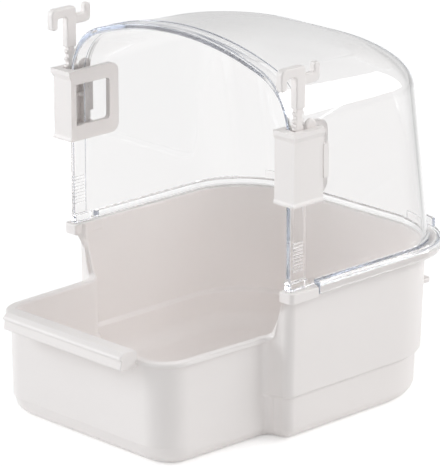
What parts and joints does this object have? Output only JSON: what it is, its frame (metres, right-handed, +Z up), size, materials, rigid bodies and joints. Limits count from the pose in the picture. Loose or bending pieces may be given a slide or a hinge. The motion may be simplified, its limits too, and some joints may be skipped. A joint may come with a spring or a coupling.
{
  "type": "cage bird bath",
  "caption": "Clip-on bath for a bird cage: white tray with a low front that goes in at the door, clear open-fronted hood, and leg clips with toothed hooks that hang it on the wires.",
  "frame": {"origin": "on the plane the tray stands on, below the middle of the whole bath", "axes": "+X to the right seen from the front, -Y towards the front that goes into the cage, +Z up"},
  "size_m": [0.1394, 0.1708, 0.1577],
  "materials": {
    "white_plastic": "satin moulded white",
    "clear_plastic": "clear polished"
  },
  "bodies": {
    "tray": {"tray": "white_plastic"},
    "hood": {"hood": "clear_plastic"},
    "left_clip": {"left_clip": "white_plastic"},
    "right_clip": {"right_clip": "white_plastic"},
    "left_hook": {"left_hook": "white_plastic"},
    "right_hook": {"right_hook": "white_plastic"},
    "left_tongue": {"left_tongue": "white_plastic"},
    "right_tongue": {"right_tongue": "white_plastic"}
  },
  "joints": [
    {"name": "hood_lift", "type": "slide", "parent": "tray", "child": "hood", "axis": [0, 0, 1], "range_m": [0, 0.06]},
    {"name": "left_clip_slide", "type": "slide", "parent": "hood", "child": "left_clip", "axis": [0, 0, 1], "range_m": [-0.028, 0]},
    {"name": "right_clip_slide", "type": "slide", "parent": "hood", "child": "right_clip", "axis": [0, 0, 1], "range_m": [-0.028, 0]},
    {"name": "left_hook_slide", "type": "slide", "parent": "left_clip", "child": "left_hook", "axis": [0, 0, 1], "range_m": [-0.008, 0.0155]},
    {"name": "right_hook_slide", "type": "slide", "parent": "right_clip", "child": "right_hook", "axis": [0, 0, 1], "range_m": [-0.008, 0.0155]},
    {"name": "left_tongue_bend", "type": "hinge", "parent": "left_clip", "child": "left_tongue", "pos_m": [-0.06505, -0.0137, 0.1035], "axis": [-1, 0, 0], "range_deg": [0, 5], "stiffness_Nm_per_rad": 0.1},
    {"name": "right_tongue_bend", "type": "hinge", "parent": "right_clip", "child": "right_tongue", "pos_m": [0.06505, -0.0137, 0.1035], "axis": [-1, 0, 0], "range_deg": [0, 5], "stiffness_Nm_per_rad": 0.1}
  ]
}
